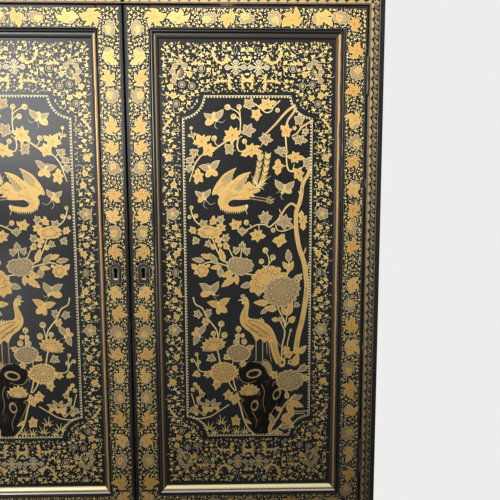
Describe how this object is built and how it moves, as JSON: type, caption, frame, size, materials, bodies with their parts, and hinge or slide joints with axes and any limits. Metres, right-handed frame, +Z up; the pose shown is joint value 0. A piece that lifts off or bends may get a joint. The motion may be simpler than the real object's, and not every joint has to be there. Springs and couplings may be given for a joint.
{
  "type": "lacquered cabinet on stand",
  "caption": "Black lacquered cabinet with hinged panelled doors, a lock and shelves, gilt bird-and-flower ornament, on a waisted stand with hoof feet.",
  "frame": {"origin": "on the floor under the middle of the stand", "axes": "+Z up, -Y out of the doors, +X to the right of someone facing the doors"},
  "size_m": [0.842, 0.46, 1.4703],
  "materials": {
    "lacquer": "polished black lacquer",
    "inner_lacquer": "dull dark lacquer",
    "gilt": "gilded over lacquer",
    "bronze": "dark patinated metal",
    "brass": "aged satin"
  },
  "bodies": {
    "case": {"stand_front_rail": "lacquer", "stand_right_rail": "lacquer", "stand_rear_rail": "lacquer", "stand_left_rail": "lacquer", "front_left_leg": "lacquer", "front_right_leg": "lacquer", "rear_left_leg": "lacquer", "rear_right_leg": "lacquer", "front_apron": "lacquer", "rear_apron": "lacquer", "left_apron": "lacquer", "right_apron": "lacquer", "top_board": "lacquer", "bottom_board": "lacquer", "left_side": "lacquer", "right_side": "lacquer", "back_panel": "inner_lacquer", "shelf_1": "inner_lacquer", "shelf_2": "inner_lacquer", "left_door_stop": "inner_lacquer", "right_door_stop": "inner_lacquer", "left_upper_hinge_case_leaf": "bronze", "left_upper_hinge_pin": "brass", "left_lower_hinge_case_leaf": "bronze", "left_lower_hinge_pin": "brass", "right_upper_hinge_case_leaf": "bronze", "right_upper_hinge_pin": "brass", "right_lower_hinge_case_leaf": "bronze", "right_lower_hinge_pin": "brass"},
    "left_door": {"left_door_meeting_stile": "lacquer", "left_door_hinge_stile": "lacquer", "left_door_top_rail": "lacquer", "left_door_bottom_rail": "lacquer", "left_door_panel": "lacquer", "left_door_top_moulding": "gilt", "left_door_bottom_moulding": "gilt", "left_door_left_moulding": "gilt", "left_door_right_moulding": "gilt", "left_escutcheon": "bronze", "left_upper_hinge_door_leaf": "bronze", "left_lower_hinge_door_leaf": "bronze", "lock_keeper": "brass", "top_slide_bolt_guide": "brass", "bottom_slide_bolt_guide": "brass"},
    "right_door": {"right_door_meeting_stile": "lacquer", "right_door_hinge_stile": "lacquer", "right_door_top_rail": "lacquer", "right_door_bottom_rail": "lacquer", "right_door_panel": "lacquer", "right_door_top_moulding": "gilt", "right_door_bottom_moulding": "gilt", "right_door_left_moulding": "gilt", "right_door_right_moulding": "gilt", "right_escutcheon": "bronze", "right_upper_hinge_door_leaf": "bronze", "right_lower_hinge_door_leaf": "bronze", "lock_case": "brass"},
    "lock_bolt": {"lock_bolt": "brass"},
    "top_slide_bolt": {"top_slide_bolt": "brass"},
    "bottom_slide_bolt": {"bottom_slide_bolt": "brass"}
  },
  "joints": [
    {"name": "right_door_hinge", "type": "hinge", "parent": "case", "child": "right_door", "pos_m": [0.3754, -0.211, 1.0333], "axis": [0, 0, 1], "range_deg": [0, 170]},
    {"name": "left_door_hinge", "type": "hinge", "parent": "case", "child": "left_door", "pos_m": [-0.3754, -0.211, 1.0333], "axis": [0, 0, -1], "range_deg": [0, 170]},
    {"name": "lock_bolt_slide", "type": "slide", "parent": "right_door", "child": "lock_bolt", "axis": [-1, 0, 0], "range_m": [0, 0.01]},
    {"name": "top_slide_bolt_slide", "type": "slide", "parent": "left_door", "child": "top_slide_bolt", "axis": [0, 0, 1], "range_m": [0, 0.012]},
    {"name": "bottom_slide_bolt_slide", "type": "slide", "parent": "left_door", "child": "bottom_slide_bolt", "axis": [0, 0, -1], "range_m": [0, 0.012]}
  ]
}
